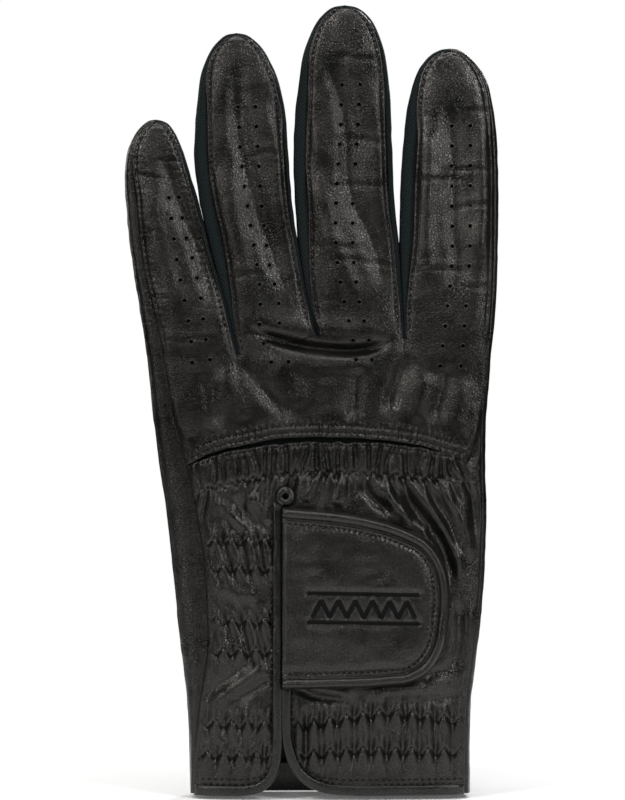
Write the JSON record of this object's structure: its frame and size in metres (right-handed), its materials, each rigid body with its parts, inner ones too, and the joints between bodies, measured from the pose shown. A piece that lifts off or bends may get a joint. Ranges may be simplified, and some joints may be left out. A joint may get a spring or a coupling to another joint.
{
  "type": "golf glove",
  "caption": "Left-hand golf glove of thin black leather with stretch side strips, a knuckle slit, a gathered wrist and a hook-and-loop tab.",
  "frame": {"origin": "middle of the wrist opening, in the plane of the cuff's lower edge", "axes": "+Z from the wrist to the fingertips, -Y out of the back of the hand, +X to the index finger's side"},
  "size_m": [0.1126, 0.0362, 0.2383],
  "materials": {
    "black_leather": "satin, soft fine grain with a low sheen",
    "stretch_knit": "matte fine rib",
    "elastic_tape": "matte",
    "binding": "matte",
    "hook_tape": "matte, stiff hooks",
    "loop_tape": "matte, brushed loops",
    "stiff_board": "matte",
    "thread": "slight sheen",
    "label_cloth": "satin weave, blank"
  },
  "bodies": {
    "hand": {"knuckle_panel": "black_leather", "palm_panel": "black_leather", "wrist_panel": "black_leather", "stretch_insert": "stretch_knit", "knuckle_elastic": "elastic_tape", "wrist_elastic": "elastic_tape", "cuff_elastic": "elastic_tape", "palm_elastic": "elastic_tape", "vent_binding_little": "binding", "vent_binding_index": "binding", "vent_bartack": "thread", "cuff_binding_little": "binding", "cuff_binding_index": "binding", "palm_hem": "binding", "loop_patch": "loop_tape", "size_label": "label_cloth", "fork_little_ring": "stretch_knit", "fork_ring_middle": "stretch_knit", "fork_middle_index": "stretch_knit", "thumb_gusset": "black_leather"},
    "little_finger": {"little_back": "black_leather", "little_front": "black_leather", "little_fourchette": "stretch_knit"},
    "ring_finger": {"ring_back": "black_leather", "ring_front": "black_leather", "ring_fourchette_outer": "stretch_knit", "ring_fourchette_inner": "stretch_knit"},
    "middle_finger": {"middle_back": "black_leather", "middle_front": "black_leather", "middle_fourchette_outer": "stretch_knit", "middle_fourchette_inner": "stretch_knit"},
    "index_finger": {"index_back": "black_leather", "index_front": "black_leather", "index_fourchette": "stretch_knit"},
    "thumb": {"thumb_outer": "black_leather", "thumb_inner": "black_leather", "thumb_side_low": "black_leather", "thumb_side_top": "black_leather"},
    "closure_tab": {"tab_leather": "black_leather", "tab_stiffener": "stiff_board", "tab_backing": "black_leather", "tab_edge_roll": "black_leather", "tab_motif": "thread", "hook_patch": "hook_tape"}
  },
  "joints": [
    {"name": "little_flex", "type": "hinge", "parent": "hand", "child": "little_finger", "pos_m": [-0.04415, 0, 0.147], "axis": [-1, 0, 0], "range_deg": [0, 75], "stiffness_Nm_per_rad": 0.02},
    {"name": "ring_flex", "type": "hinge", "parent": "hand", "child": "ring_finger", "pos_m": [-0.019, 0, 0.147], "axis": [-1, 0, 0], "range_deg": [0, 75], "stiffness_Nm_per_rad": 0.02},
    {"name": "middle_flex", "type": "hinge", "parent": "hand", "child": "middle_finger", "pos_m": [0.0081, 0, 0.147], "axis": [-1, 0, 0], "range_deg": [0, 75], "stiffness_Nm_per_rad": 0.02},
    {"name": "index_flex", "type": "hinge", "parent": "hand", "child": "index_finger", "pos_m": [0.03605, 0, 0.147], "axis": [-1, 0, 0], "range_deg": [0, 75], "stiffness_Nm_per_rad": 0.02},
    {"name": "thumb_fold", "type": "hinge", "parent": "hand", "child": "thumb", "pos_m": [0.0435, 0.009, 0.072], "axis": [0, 0, -1], "range_deg": [0, 150]},
    {"name": "tab_hinge", "type": "hinge", "parent": "hand", "child": "closure_tab", "pos_m": [-0.0146, -0.0139, 0.0597], "axis": [0, 0, -1], "range_deg": [0, 150]}
  ]
}
